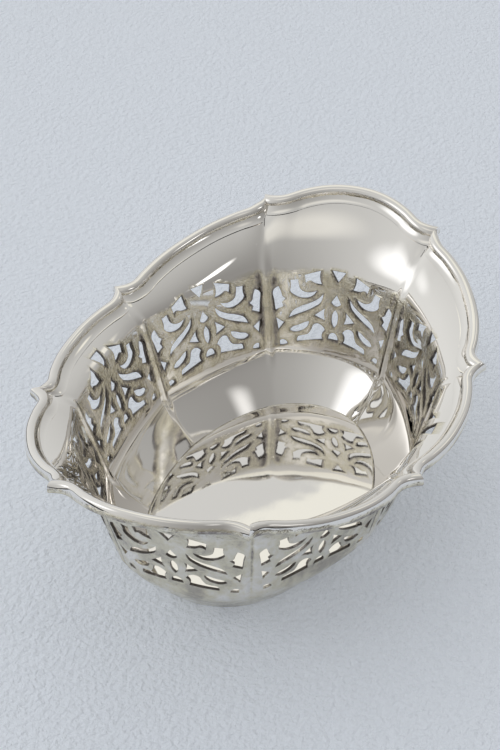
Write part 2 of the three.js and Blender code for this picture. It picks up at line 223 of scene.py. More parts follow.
@dataclass(frozen=True)
class SheetForm:
    """Form of the raised sheet: where each point of it lies.

    A point is named by its ring position, which counts panels counter-clockwise from the middle
    of the +X panel, and by its level, which runs evenly between those that Level names. The
    band's bottom and top each have a length, a width and a height.
    """

    base_length: float = 67.4
    base_width: float = 42.8
    belly_height: float = 8.0  # of the corner towards which the belly's curve is drawn
    band_bottom: tuple[float, float, float] = (83.9, 59.7, 10.65)
    band_top: tuple[float, float, float] = (92.0, 69.0, 25.45)
    lip_end_reach: float = 13.3
    lip_side_reach: float = 7.3
    lip_side_height: float = 28.25
    lip_end_height: float = 39.05
    lip_rise_square_share: float = 0.72  # the higher, the more evenly the lip rises
    flare_control_share: float = 0.55  # of the lip's rise, at the corner of the flare's curve
    end_spread_share: float = 0.042  # of a panel, by which points leave the ends up the flare
    thickness: float = 0.6
    panel_flatness: float = 0.8  # how far a panel's middle lies inside the oval
    base_flatness_share: float = 0.3  # of that, left at the base's edge
    crease_half_width: float = 0.8
    groove_depth: float = 0.4
    groove_half_width: float = 1.1
    rib_height: float = 0.36
    rib_half_width: float = 1.5
    rib_start_share: float = 0.2
    bracket_middle: float = 0.9  # this and the next two: how far the lip lies inside the oval
    bracket_dip: float = 2.1
    cusp_set_back: float = 0.5
    bracket_place_shares: tuple[float, ...] = (0, 0.31, 0.62, 0.8, 0.927, 1)
    bracket_fall_shares: tuple[float, float] = (0.1, 0.6)
    bracket_rise_share: float = 0.32
    probe: float = 0.0012  # step in ring position and level by which slopes are felt
    arc_steps: int = 1440

    @property
    def band_height(self) -> float:
        """Height of the pierced band."""
        return self.band_top[2] - self.band_bottom[2]

    @property
    def middle_oval(self) -> tuple[float, float]:
        """Semi-axes of the oval halfway up the band."""
        a, b, _ = self.band_line(np.array(0.5))
        return a, b

    @property
    def panel_half(self) -> float:
        """Half the length of one panel along the middle of the band."""
        a, b = self.middle_oval
        return float(math.pi * math.sqrt((a * a + b * b) / 2) / PANEL_COUNT)

    @cached_property
    def equal_arcs(self) -> tuple[np.ndarray, np.ndarray]:
        """Measure the way round the middle of the band.

        Returns:
            Shares of the way round, and the oval's angle at each.
        """
        a, b = self.middle_oval
        angles = np.linspace(0, 2 * math.pi, self.arc_steps + 1)
        middles = (angles[1:] + angles[:-1]) / 2
        steps = np.hypot(a * np.sin(middles), b * np.cos(middles))
        sums = np.concatenate([[0.0], np.cumsum(steps)])
        return sums / sums[-1], angles

    def ring_angle(self, ring: np.ndarray) -> np.ndarray:
        """Angle of the oval at a ring position."""
        shares, angles = self.equal_arcs
        return np.interp(np.mod(ring, PANEL_COUNT) / PANEL_COUNT, shares, angles)

    @staticmethod
    def toward_crease(ring: np.ndarray) -> np.ndarray:
        """Share of half a panel from its middle, 0, to the crease beside it, 1."""
        return np.abs(2 * (ring - np.round(ring)))

    @staticmethod
    def belly_share(level: np.ndarray) -> np.ndarray:
        """Share of the way up the belly, 1 above it."""
        return np.clip(level - Level.BASE, 0, 1)

    @staticmethod
    def flare_share(level: np.ndarray) -> np.ndarray:
        """Share of the way up the flare, 0 below it."""
        return np.clip(level - Level.FLARE, 0, 1)

    def band_line(self, share: Amount) -> np.ndarray:
        """Find the semi-axes and height of the straight band, or of its line drawn on past it.

        Args:
            share: Share of the band's height, below 0 or above 1 past its bottom or top.

        Returns:
            Two semi-axes and a height for each share, in the last axis.
        """
        low, high = (np.array([length / 2, width / 2, z]) for length, width, z in
                     (self.band_bottom, self.band_top))
        return mix(low, high, np.asarray(share, dtype=float)[..., None])

    def lip_height(self, angle: np.ndarray) -> np.ndarray:
        """Find the height of the lip's edge, which rises to both ends.

        Args:
            angle: Angle of the oval at each point.

        Returns:
            Height at each point.
        """
        square = np.cos(angle) ** 2
        share = mix(square * square, square, self.lip_rise_square_share)
        return mix(self.lip_side_height, self.lip_end_height, share)

    def level_size(self, level: np.ndarray, angle: np.ndarray) -> np.ndarray:
        """Find the semi-axes and height of the sheet's outer face.

        Belly and flare are curves that meet the straight band along its own slope.

        Args:
            level: Level of each point.
            angle: Angle of the oval at each point.

        Returns:
            Two semi-axes and a height for each point, in the last axis.
        """
        belly, flare = self.belly_share(level)[..., None], self.flare_share(level)[..., None]
        base = np.array([self.base_length / 2, self.base_width / 2, 0.0])
        corner = self.band_line((self.belly_height - self.band_bottom[2]) / self.band_height)
        low = ((1 - belly) ** 3 * base + 3 * belly * (1 - belly) * corner
               + belly ** 3 * self.band_line(0.0))
        middle = self.band_line(np.clip(level - Level.BAND, 0, 1))
        edge_height = self.lip_height(angle)
        edge = np.stack([np.full_like(angle, self.band_top[0] / 2 + self.lip_end_reach),
                         np.full_like(angle, self.band_top[1] / 2 + self.lip_side_reach),
                         edge_height], axis=-1)
        rise = (edge_height - self.band_top[2]) * self.flare_control_share
        control = self.band_line(1 + rise / self.band_height)
        high = mix(mix(self.band_line(1.0), control, flare), mix(control, edge, flare), flare)
        return np.where((level <= Level.BAND)[..., None], low,
                        np.where((level <= Level.FLARE)[..., None], middle, high))

    def band_level(self, share: np.ndarray, ring: np.ndarray) -> np.ndarray:
        """Find the level at a share of the band's height, going on past its top at its pace.

        Args:
            share: Share of the band's height, above 1 on the flare.
            ring: Ring position of each point.

        Returns:
            Level of each point.
        """
        rise = self.lip_height(self.ring_angle(ring)) - self.band_top[2]
        pace = self.band_height / (2 * rise * self.flare_control_share)
        return np.where(share <= 1, Level.BAND + share, Level.FLARE + (share - 1) * pace)

    def bracket_inset(self, u: np.ndarray) -> np.ndarray:
        """Find how far the lip's edge lies inside the oval.

        The edge is nearly straight at mid panel, sweeps back into a dip and out to the cusp.

        Args:
            u: Share of half a panel from its middle to the cusp.

        Returns:
            Inset of each point.
        """
        places = np.array(self.bracket_place_shares)
        middle, dip, cusp = self.bracket_middle, self.bracket_dip, self.cusp_set_back
        fall = [mix(middle, dip, share) for share in self.bracket_fall_shares]
        insets = np.array([middle, *fall, dip, mix(dip, cusp, self.bracket_rise_share), cusp])
        slopes = np.gradient(insets, places)
        slopes[0] = slopes[insets.argmax()] = 0.0
        i = np.clip(np.searchsorted(places, u) - 1, 0, len(places) - 2)
        width = places[i + 1] - places[i]
        t = (u - places[i]) / width
        return (mix(insets[i], insets[i + 1], ease(t)) + width * t * (1 - t) * (
            slopes[i] * (1 - t) - slopes[i + 1] * t))

    def smooth_point(self, ring: np.ndarray, level: np.ndarray) -> np.ndarray:
        """Place points on the sheet's outer face, with its panels but without ribs.

        Args:
            ring: Ring position of each point.
            level: Level of each point.

        Returns:
            Places in millimetres.
        """
        flare = self.flare_share(level)
        spread = self.end_spread_share * np.sin(ring * 4 * math.pi / PANEL_COUNT) * flare
        angle = self.ring_angle(ring + spread)
        a, b, z = np.moveaxis(self.level_size(level, angle), -1, 0)
        normal = unit(np.stack([np.cos(angle) / a, np.sin(angle) / b], axis=-1))
        u = self.toward_crease(ring)
        turn = self.crease_half_width / self.panel_half
        soft = u - np.clip(u - 1 + turn, 0, None) ** 2 / (2 * turn)
        flatness = self.panel_flatness * mix(self.base_flatness_share, 1,
                                             self.belly_share(level))
        inset = self.bracket_inset(mix(soft, u, flare ** 4))
        out = -flatness * (1 - ease(flare)) * (1 - soft * soft) - inset * flare * flare
        return np.stack([a * np.cos(angle) + out * normal[..., 0],
                         b * np.sin(angle) + out * normal[..., 1], z], axis=-1)

    def slopes(self, surface: Surface, ring: np.ndarray, level: np.ndarray) -> np.ndarray:
        """Find which way into the dish a surface looks.

        Args:
            surface: Places of the surface by ring position and level.
            ring: Ring position of each point.
            level: Level of each point.

        Returns:
            Unit normals into the dish.
        """
        top = np.minimum(level + self.probe, Level.LIP)
        bottom = np.maximum(top - 2 * self.probe, Level.BASE)
        along = surface(ring + self.probe, level) - surface(ring - self.probe, level)
        return unit(np.cross(surface(ring, top) - surface(ring, bottom), along))

    def rib(self, ring: np.ndarray, level: np.ndarray, depth: float) -> np.ndarray:
        """Find how far a crease stands into the dish: a groove outside, a softer ridge inside.

        Args:
            ring: Ring position of each point.
            level: Level of each point.
            depth: Share of the thickness from the outer face.

        Returns:
            Height of the crease at each point.
        """
        height = mix(self.groove_depth, self.rib_height, depth)
        half_width = mix(self.groove_half_width, self.rib_half_width, depth)
        belly, flare = self.belly_share(level), self.flare_share(level)
        growth = ease((belly - self.rib_start_share) / (1 - self.rib_start_share))
        reach = np.clip((1 - self.toward_crease(ring)) * self.panel_half / half_width, 0, 1)
        return height * growth * (1 - flare) ** 2 * (1 + np.cos(math.pi * reach)) / 2

    def face_point(self, ring: np.ndarray, level: np.ndarray, depth: float) -> np.ndarray:
        """Place points inside the sheet.

        Args:
            ring: Ring position of each point.
            level: Level of each point.
            depth: Share of the thickness from the outer face.

        Returns:
            Places in millimetres.
        """
        inward = depth * self.thickness + self.rib(ring, level, depth)
        return self.smooth_point(ring, level) + inward[..., None] * self.slopes(
            self.smooth_point, ring, level)

    def face_normal(self, ring: np.ndarray, level: np.ndarray, face: Face) -> np.ndarray:
        """Unit normal of one face, pointing out of the metal."""
        inward = self.slopes(lambda r, v: self.face_point(r, v, face.value), ring, level)
        return inward if face is Face.INNER else -inward

    def floor_edge(self, ring: np.ndarray) -> np.ndarray:
        """Find where the inner face turns from the floor into the belly.

        Args:
            ring: Ring position of each point.

        Returns:
            Places in millimetres, one thickness up.
        """
        level = np.full_like(ring, Level.BASE)
        bisector = self.slopes(self.smooth_point, ring, level) + np.array([0.0, 0.0, 1.0])
        return self.smooth_point(ring, level) + bisector * (
            self.thickness / bisector[..., 2:3])


@dataclass
class MeshParts:
    """Patches of one piece, welded into a single mesh whose corners keep their own normals."""

    points: list[np.ndarray] = field(default_factory=list)
    normals: list[np.ndarray] = field(default_factory=list)
    tarnish_and_shade: list[np.ndarray] = field(default_factory=list)
    faces: list[np.ndarray] = field(default_factory=list)
    count: int = 0
    weld_digits: int = 4

    def add(self, points: np.ndarray, normals: np.ndarray, faces: np.ndarray,
            tarnish_and_shade: np.ndarray | float = 0.0) -> None:
        """Add a patch, turning its faces so that they look along its normals.

        Args:
            points: Places in millimetres, one row each.
            normals: Unit normals, one row each.
            faces: Corner numbers, one row of three or four for each face.
            tarnish_and_shade: How dark the metal is there, from 0 to 1: sulphide, and painted shade
                in some places.
        """
        start, second, third = (points[faces[:, i]] for i in range(3))
        looks = np.cross(second - start, third - start)
        if np.sum(looks * normals[faces[:, 0]]) < 0:
            faces = faces[:, ::-1]
        self.points.append(points)
        self.normals.append(normals)
        self.tarnish_and_shade.append(np.broadcast_to(tarnish_and_shade, len(points)))
        self.faces.append(faces + self.count)
        self.count += len(points)

    def grid(self, points: np.ndarray, normals: np.ndarray, tarnish_and_shade: np.ndarray | float = 0.0,
             closed: bool = False) -> None:
        """Add rows of points joined by four-sided faces.

        Args:
            points: Places by row and column.
            normals: Unit normals by row and column.
            tarnish_and_shade: One value, or one by row and column.
            closed: Whether the last column joins the first.
        """
        rows, columns = points.shape[:2]
        numbers = np.arange(rows * columns).reshape(rows, columns)
        if closed:
            numbers = np.concatenate([numbers, numbers[:, :1]], axis=1)
        faces = np.stack([numbers[:-1, :-1], numbers[:-1, 1:], numbers[1:, 1:],
                          numbers[1:, :-1]], axis=-1).reshape(-1, 4)
        flat_tarnish_and_shade = np.broadcast_to(tarnish_and_shade, (rows, columns)).reshape(-1)
        self.add(points.reshape(-1, 3), normals.reshape(-1, 3), faces, flat_tarnish_and_shade)

    def build(self, name: str, material: bpy.types.Material) -> bpy.types.Object:
        """Weld the patches where they meet and make the object.

        Args:
            name: Name of the piece.
            material: Its finish.

        Returns:
            The new object, linked into the scene.
        """
        points, normals = np.concatenate(self.points), np.concatenate(self.normals)
        _, first, welded = np.unique(np.round(points, self.weld_digits), axis=0,
                                     return_index=True, return_inverse=True)
        welded = welded.reshape(-1)
        corners, kept = [], []
        for face in (row for block in self.faces for row in block.tolist()):
            ends = welded[face].tolist()
            if len(set(ends)) == len(face):
                kept.append(ends)
                corners.extend(face)
        mesh = bpy.data.meshes.new(name)
        mesh.from_pydata((points[first] * MILLIMETRE).tolist(), [], kept)
        mesh.shade_smooth()
        shade = mesh.attributes.new("tarnish_and_shade", "FLOAT", "POINT")
        shade.data.foreach_set("value", np.concatenate(self.tarnish_and_shade)[first].astype(np.float32))
        mesh.normals_split_custom_set(normals[corners].tolist())
        mesh.materials.append(material)
        return link_object(name, mesh)


@dataclass(frozen=True)
class SawnHole:
    """One hole sawn through the band, its outline as shares of half a panel and of the band.

    A corner that turns by more degrees than sharp_turn stays sharp. Curves are drawn in steps,
    in millimetres, and the corner limit keeps a softened corner from being drawn out too far.
    """

    outline: Outline
    mirrored: bool = True
    sharp_turn: float = 62.0
    step: float = 0.2
    corner_limit: float = 0.6

    @staticmethod
    def arc_end(chord: np.ndarray, other: np.ndarray) -> np.ndarray:
        """Way along the line at a sharp end that makes the stretch a simple arc."""
        return unit(2 * np.dot(chord, other) * chord - other)

    def smooth_line(self, half_panel: float, band_height: float, side: int) -> np.ndarray:
        """Trace the outline as round stretches between its sharp corners.

        Args:
            half_panel: Half the panel's length in millimetres.
            band_height: The band's height in millimetres.
            side: 1 for the hole as listed, -1 for its mirror image.

        Returns:
            Points of the closed line in millimetres, counter-clockwise.
        """
        knots = np.array(self.outline) * [half_panel * side, band_height]
        following = np.roll(knots, -1, axis=0)
        if np.sum(knots[:, 0] * following[:, 1] - knots[:, 1] * following[:, 0]) < 0:
            knots = knots[::-1]
            following = np.roll(knots, -1, axis=0)
        chords = following - knots
        lengths = np.linalg.norm(chords, axis=1, keepdims=True)
        ahead = chords / lengths
        behind, before = np.roll(ahead, 1, axis=0), np.roll(lengths, 1, axis=0)
        turns = np.degrees(np.arccos(np.clip(np.sum(ahead * behind, axis=1), -1, 1)))
        sharp = turns > self.sharp_turn
        tangent = unit(behind * lengths + ahead * before)
        line = []
        for i, chord in enumerate(ahead):
            j = (i + 1) % len(knots)
            leave, arrive = tangent[i], tangent[j]
            if sharp[i]:
                leave = chord if sharp[j] else self.arc_end(chord, tangent[j])
            if sharp[j]:
                arrive = chord if sharp[i] else self.arc_end(chord, tangent[i])
            count = max(2, int(math.ceil(lengths[i, 0] / self.step)))
            t = np.linspace(0, 1, count, endpoint=False)[:, None]
            line.append(mix(knots[i], knots[j], ease(t)) + lengths[i] * t * (1 - t) * (
                leave * (1 - t) - arrive * t))
        return np.concatenate(line)

    def soft_edge(self, line: np.ndarray, softened: float) -> np.ndarray:
        """Draw the line just outside the hole, where its softened edge meets the sheet's face.

        Args:
            line: Closed outline of the hole in millimetres, counter-clockwise.
            softened: Width of the softened edge in millimetres.

        Returns:
            One point beside each point of the outline.
        """
        ahead = unit(np.roll(line, -1, axis=0) - line)
        behind = np.roll(ahead, 1, axis=0)
        outward = unit(np.stack([ahead[:, 1] + behind[:, 1], -ahead[:, 0] - behind[:, 0]], -1))
        square = np.sum(outward * np.stack([ahead[:, 1], -ahead[:, 0]], -1), -1)
        stretch = 1 / np.maximum(square, self.corner_limit)
        return line + outward * softened * stretch[:, None]


# Holes of one panel, from its middle, 0, to its crease, 1, and up the band from 0 to 1.
PIERCING: dict[str, SawnHole] = {
    "notch": SawnHole([(-0.1, 1.1), (0.1, 1.1), (0, 0.95)], mirrored=False),
    "lozenge": SawnHole([(0, 0.765), (0.075, 0.645), (0, 0.6), (-0.075, 0.645)], mirrored=False),
    "oval": SawnHole([(0, 0.545), (0.04, 0.49), (0.05, 0.42), (0.035, 0.335), (0, 0.29),
                      (-0.035, 0.335), (-0.05, 0.42), (-0.04, 0.49)], mirrored=False),
    "foot": SawnHole([(-0.02, 0.21), (0.02, 0.21), (0.08, 0.112), (-0.08, 0.112)],
                     mirrored=False),
    "collar": SawnHole([(0.25, 1.075), (0.475, 1.0), (0.455, 0.885), (0.405, 0.92),
                        (0.32, 0.89), (0.225, 0.885), (0.25, 0.945)]),
    "crescent": SawnHole([(0.295, 0.785), (0.37, 0.757), (0.46, 0.757), (0.53, 0.8),
                          (0.55, 0.855), (0.56, 0.935), (0.67, 0.92), (0.66, 0.835),
                          (0.67, 0.765), (0.61, 0.705), (0.505, 0.668), (0.385, 0.687)]),
    "leaf": SawnHole([(0.2, 0.747), (0.27, 0.672), (0.375, 0.607), (0.52, 0.547),
                      (0.64, 0.473), (0.69, 0.38), (0.6, 0.417), (0.46, 0.473),
                      (0.33, 0.543), (0.235, 0.621)]),
    "thorn": SawnHole([(0.16, 0.547), (0.225, 0.497), (0.315, 0.427), (0.235, 0.395),
                       (0.145, 0.367), (0.17, 0.445)]),
    "leaflet": SawnHole([(0.395, 0.335), (0.45, 0.32), (0.54, 0.279), (0.64, 0.242),
                         (0.68, 0.2), (0.62, 0.173), (0.53, 0.186), (0.45, 0.228),
                         (0.405, 0.279)]),
    "root": SawnHole([(0.14, 0.233), (0.2, 0.297), (0.26, 0.316), (0.325, 0.288),
                      (0.355, 0.218), (0.4, 0.154), (0.47, 0.13), (0.56, 0.098),
                      (0.57, 0.034), (0.36, 0.066), (0.17, 0.094), (0.185, 0.163)]),
    "shield": SawnHole([(0.83, 0.835), (0.9, 0.784), (0.895, 0.631), (0.88, 0.492),
                        (0.765, 0.543), (0.79, 0.603), (0.735, 0.659), (0.78, 0.691),
                        (0.8, 0.761)]),
    "wedge": SawnHole([(0.765, 0.311), (0.875, 0.38), (0.85, 0.209)]),
    "pip": SawnHole([(0.72, 0.006), (0.79, 0.062), (0.835, 0.048), (0.83, -0.026),
                     (0.775, -0.026)]),
}


@dataclass
class PiercedBowl:
    """The bowl: floor, belly, pierced band with ribs between its panels, and flared lip.

    Each film is an amount of tarnish, from 0 for bright silver to 1 for black sulphide. The crease
    film is painted shade beside the ribs inside, as well as tarnish.
    """

    form: SheetForm
    finish: bpy.types.Material
    belly_top_share: float = 0.85  # of the belly's level, above which the pierced field starts
    lip_start_share: float = 1.16  # of the band's height, at which the pierced field ends
    rib_steps: tuple[float, ...] = (0.0, 0.16, 0.32, 0.5, 0.7, 0.95, 1.25, 1.6, 2.05)
    column_pitch: float = 0.62
    row_pitch: float = 0.72
    clearance: float = 0.16  # between the field's points and the edge of a hole
    merge_distance: float = 1e-6
    edge_radius: float = 0.5
    softened: float = 0.09  # width and depth of the softened edge of a hole
    belly_rows: int = 26
    belly_row_bunching: float = 1.4
    lip_rows: int = 26
    lip_edge_probe: float = 0.02
    outer_film: float = 0.24
    band_film: float = 0.17
    band_film_fade: float = 0.16
    crease_shade_and_tarnish: float = 0.3
    # painted shade beside the ribs inside, with tarnish
    crease_shade_place: float = 1.6
    crease_shade_reach: float = 1.0
    hole_film: float = 0.22
    hole_film_reach: float = 0.35
    groove_film: float = 0.4
    groove_film_reach: float = 0.45
    floor_line_film: float = 0.5
    sawn_film: float = 0.8
    parts: MeshParts = field(default_factory=MeshParts)

    @cached_property
    def columns(self) -> np.ndarray:
        """Spread the columns of one panel, close together along the ribs.

        Returns:
            Their places as shares of half a panel from its middle.
        """
        half_panel = self.form.panel_half
        ribs = 1 - np.array(self.rib_steps) / half_panel
        count = int(2 * ribs[-1] * half_panel / self.column_pitch)
        middle = np.linspace(-ribs[-1], ribs[-1], count + 1)
        return np.concatenate([-ribs[:-1], middle, ribs[:-1][::-1]])

    @cached_property
    def rings(self) -> np.ndarray:
        """Ring positions of all columns, once round the dish."""
        return np.concatenate([panel + self.columns[:-1] / 2 for panel in range(PANEL_COUNT)])

    @cached_property
    def hole_lines(self) -> list[tuple[np.ndarray, np.ndarray]]:
        """Draw the holes of one panel.

        Returns:
            For each hole its outline and the line of its softened edge, in millimetres on the
            flattened panel.
        """
        lines = []
        for hole in PIERCING.values():
            for side in ((1, -1) if hole.mirrored else (1,)):
                line = hole.smooth_line(self.form.panel_half, self.form.band_height, side)
                lines.append((line, hole.soft_edge(line, self.softened)))
        return lines

    def film(self, ring: np.ndarray, level: np.ndarray, face: Face) -> np.ndarray:
        """Find how much tarnish a face carries, most where a cloth can't reach, and the painted
        shade beside the ribs inside.

        Args:
            ring: Ring position of each point.
            level: Level of each point.
            face: Which face of the sheet.

        Returns:
            Amount of tarnish and painted shade at each point.
        """
        in_band = (ease((level - Level.BAND + self.band_film_fade) / self.band_film_fade)
                   * (1 - ease((level - Level.FLARE) / self.band_film_fade)))
        from_crease = (1 - self.form.toward_crease(ring)) * self.form.panel_half
        if face is Face.INNER:
            # Inside, the metal is darkened along each side of a rib: painted shade, with tarnish.
            away = np.abs(from_crease - self.crease_shade_place) / self.crease_shade_reach
            return (self.band_film + self.crease_shade_and_tarnish * (1 - ease(away))) * in_band
        groove = 1 - ease(from_crease / self.groove_film_reach)
        return self.outer_film + self.groove_film * groove * in_band

    def cover(self, levels: np.ndarray) -> None:
        """Add both faces of a plain stretch of the sheet, once round the dish.

        Args:
            levels: Level of each point, in rows of one point for each column.
        """
        rings = np.broadcast_to(self.rings, levels.shape)
        for face in Face:
            self.parts.grid(self.form.face_point(rings, levels, face.value),
                            self.form.face_normal(rings, levels, face),
                            tarnish_and_shade=self.film(rings, levels, face), closed=True)

    def build_belly(self) -> None:
        """Add the belly up to the piercing, and the flat floor."""
        shares = (np.linspace(0, 1, self.belly_rows) ** self.belly_row_bunching
                  * self.belly_top_share)
        self.cover(np.repeat(shares[1:, None], len(self.rings), axis=1))
        for face in Face:
            self.build_floor(face, shares[1])

    def build_floor(self, face: Face, wall_level: float) -> None:
        """Add one face of the flat floor and of the soft edge round it.

        Args:
            face: Which face of the sheet.
            wall_level: Level at which the belly takes over.
        """
        if face is Face.INNER:
            edge, look = self.form.floor_edge(self.rings), 1.0
            edge_film = self.floor_line_film
        else:
            base = np.full_like(self.rings, Level.BASE)
            edge, look = self.form.smooth_point(self.rings, base), -1.0
            edge_film = self.outer_film
        side = np.array([0.0, 0.0, look])
        up = np.broadcast_to(side, edge.shape)
        first = np.full_like(self.rings, wall_level)
        wall = self.form.face_point(self.rings, first, face.value)
        above = self.form.face_normal(self.rings, first, face)
        turned = unit(above + up)
        reach = np.linalg.norm(edge[:, :2], axis=1, keepdims=True)
        inset = edge * (1 - self.edge_radius / reach * [1, 1, 0])
        film = np.zeros((2, len(edge)))
        film[1] = edge_film
        self.parts.grid(np.stack([inset, edge]), np.stack([up, turned]), film, closed=True)
        self.parts.grid(np.stack([edge, wall]), np.stack([turned, above]), film[::-1],
                        closed=True)
        middle = np.array([[0.0, 0.0, edge[0, 2]]])
        numbers = np.arange(len(inset))
        fan = np.stack([np.full_like(numbers, len(inset)), numbers, np.roll(numbers, -1)],
                       axis=-1)
        self.parts.add(np.concatenate([inset, middle]),
                       np.broadcast_to(side, (len(inset) + 1, 3)), fan)

    def build_lip(self) -> None:
        """Add the flared lip above the piercing, and the cut edge under the wire."""
        start = self.form.band_level(np.full_like(self.rings, self.lip_start_share), self.rings)
        shares = np.linspace(0, 1, self.lip_rows)[:, None]
        self.cover(mix(start[None, :], Level.LIP, shares))
        top = np.full_like(self.rings, Level.LIP)
        edge = np.stack([self.form.face_point(self.rings, top, face.value) for face in Face])
        out = unit(edge[0] - self.form.face_point(self.rings, top - self.lip_edge_probe,
                                                  Face.OUTER.value))
        self.parts.grid(edge, np.stack([out, out]), closed=True)

    @staticmethod
    def within(points: np.ndarray, line: np.ndarray) -> np.ndarray:
        """Find which points lie inside a closed line.

        Args:
            points: Places, one row each.
            line: Corners of the line, one row each.

        Returns:
            Whether each point lies inside.
        """
        start, end = line, np.roll(line, -1, axis=0)
        x, y = points[:, :1], points[:, 1:]
        crosses = (start[:, 1] > y) != (end[:, 1] > y)
        rise = np.where(end[:, 1] == start[:, 1], TINY, end[:, 1] - start[:, 1])
        at = start[:, 0] + (y - start[:, 1]) / rise * (end[:, 0] - start[:, 0])
        return np.sum(crosses & (x < at), axis=1) % 2 == 1

    @staticmethod
    def distance(points: np.ndarray, line: np.ndarray) -> np.ndarray:
        """Measure how far points lie from a closed line.

        Args:
            points: Places, one row each.
            line: Corners of the line, one row each.

        Returns:
            Distance of each point.
        """
        start = line[None]
        ahead = np.roll(line, -1, axis=0)[None] - start
        away = points[:, None] - start
        share = np.clip(np.sum(away * ahead, -1) / np.maximum(np.sum(ahead * ahead, -1), TINY),
                        0, 1)
        return np.linalg.norm(away - share[..., None] * ahead, axis=-1).min(axis=1)

    def clear_points(self) -> np.ndarray:
        """Spread points over one flattened panel, clear of its holes.

        Returns:
            Places in millimetres.
        """
        height = self.form.band_height
        breaks = [(self.belly_top_share - 1) * height, 0.0, height, self.lip_start_share * height]
        rows = np.unique(np.concatenate([
            np.linspace(low, high, max(2, int((high - low) / self.row_pitch) + 1))
            for low, high in zip(breaks, breaks[1:])]))
        across, up = np.meshgrid(self.columns * self.form.panel_half, rows)
        points = np.stack([across.ravel(), up.ravel()], axis=-1)
        clear = np.ones(len(points), dtype=bool)
        for _, soft in self.hole_lines:
            clear &= ~self.within(points, soft) & (self.distance(points, soft) > self.clearance)
        return points[clear]

    def pierced_field(self) -> tuple[np.ndarray, np.ndarray]:
        """Triangulate one flattened panel of the band round its holes.

        Returns:
            Places in millimetres, and the corner numbers of the triangles.
        """
        points, segments = [self.clear_points()], []
        count = len(points[0])
        for _, soft in self.hole_lines:
            numbers = count + np.arange(len(soft))
            segments.append(np.stack([numbers, np.roll(numbers, -1)], axis=-1))
            points.append(soft)
            count += len(soft)
        made = delaunay_2d_cdt([Vector(p) for p in np.concatenate(points).tolist()],
                               np.concatenate(segments).tolist(), [], Fill.AROUND.value,
                               self.merge_distance)
        placed, faces = (np.array([tuple(row) for row in made[i]]) for i in (0, 2))
        centres = placed[faces].mean(axis=1)
        solid = np.ones(len(faces), dtype=bool)
        for _, soft in self.hole_lines:
            solid &= ~self.within(centres, soft)
        return placed, faces[solid]

    def place(self, panel: int, flat: np.ndarray) -> tuple[np.ndarray, np.ndarray]:
        """Ring position and level of points on the flattened panel."""
        ring = panel + flat[..., 0] / self.form.panel_half / 2
        return ring, self.form.band_level(flat[..., 1] / self.form.band_height, ring)

    def build_band(self) -> None:
        """Add the pierced band: both faces round the holes, and the sawn edges inside them."""
        flat, faces = self.pierced_field()
        near = np.min([self.distance(flat, soft) for _, soft in self.hole_lines], axis=0)
        dulled = self.hole_film * (1 - ease(near / self.hole_film_reach))
        for panel in range(PANEL_COUNT):
            ring, level = self.place(panel, flat)
            for face in Face:
                self.parts.add(self.form.face_point(ring, level, face.value),
                               self.form.face_normal(ring, level, face), faces,
                               self.film(ring, level, face)
                               + (dulled if face is Face.INNER else 0.0))
            for line, soft in self.hole_lines:
                self.build_sawn_edge(panel, line, soft)

    def build_sawn_edge(self, panel: int, line: np.ndarray, soft: np.ndarray) -> None:
        """Add the wall of one hole with its softened edges.

        Args:
            panel: Number of the panel.
            line: Outline of the hole on the flattened panel.
            soft: Line of the softened edge.
        """
        ring, level = self.place(panel, line)
        soft_ring, soft_level = self.place(panel, soft)
        step = self.softened / self.form.thickness
        low = self.form.face_point(ring, level, step)
        high = self.form.face_point(ring, level, 1 - step)
        along = np.roll(low, -1, axis=0) - np.roll(low, 1, axis=0)
        into_hole = -unit(np.cross(along, high - low))
        if np.sum(into_hole * (low.mean(axis=0) - low)) < 0:
            into_hole = -into_hole
        outer, inner = (self.form.face_point(soft_ring, soft_level, face.value)
                        for face in Face)
        outer_look, inner_look = (self.form.face_normal(soft_ring, soft_level, face)
                                  for face in Face)
        self.parts.grid(np.stack([outer, low, high, inner]),
                        np.stack([outer_look, into_hole, into_hole, inner_look]),
                        tarnish_and_shade=self.sawn_film, closed=True)

    def build(self) -> bpy.types.Object:
        """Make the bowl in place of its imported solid.

        Returns:
            The finished piece.
        """
        self.build_belly()
        self.build_band()
        self.build_lip()
        return self.dress(self.parts.build("pierced_bowl", self.finish))

    def dress(self, piece: bpy.types.Object) -> bpy.types.Object:
        """Set the bowl on its body, in place of its imported node.

        Args:
            piece: The bowl's object.

        Returns:
            The same object.
        """
        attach(piece, "root")
        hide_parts("bowl")
        return piece


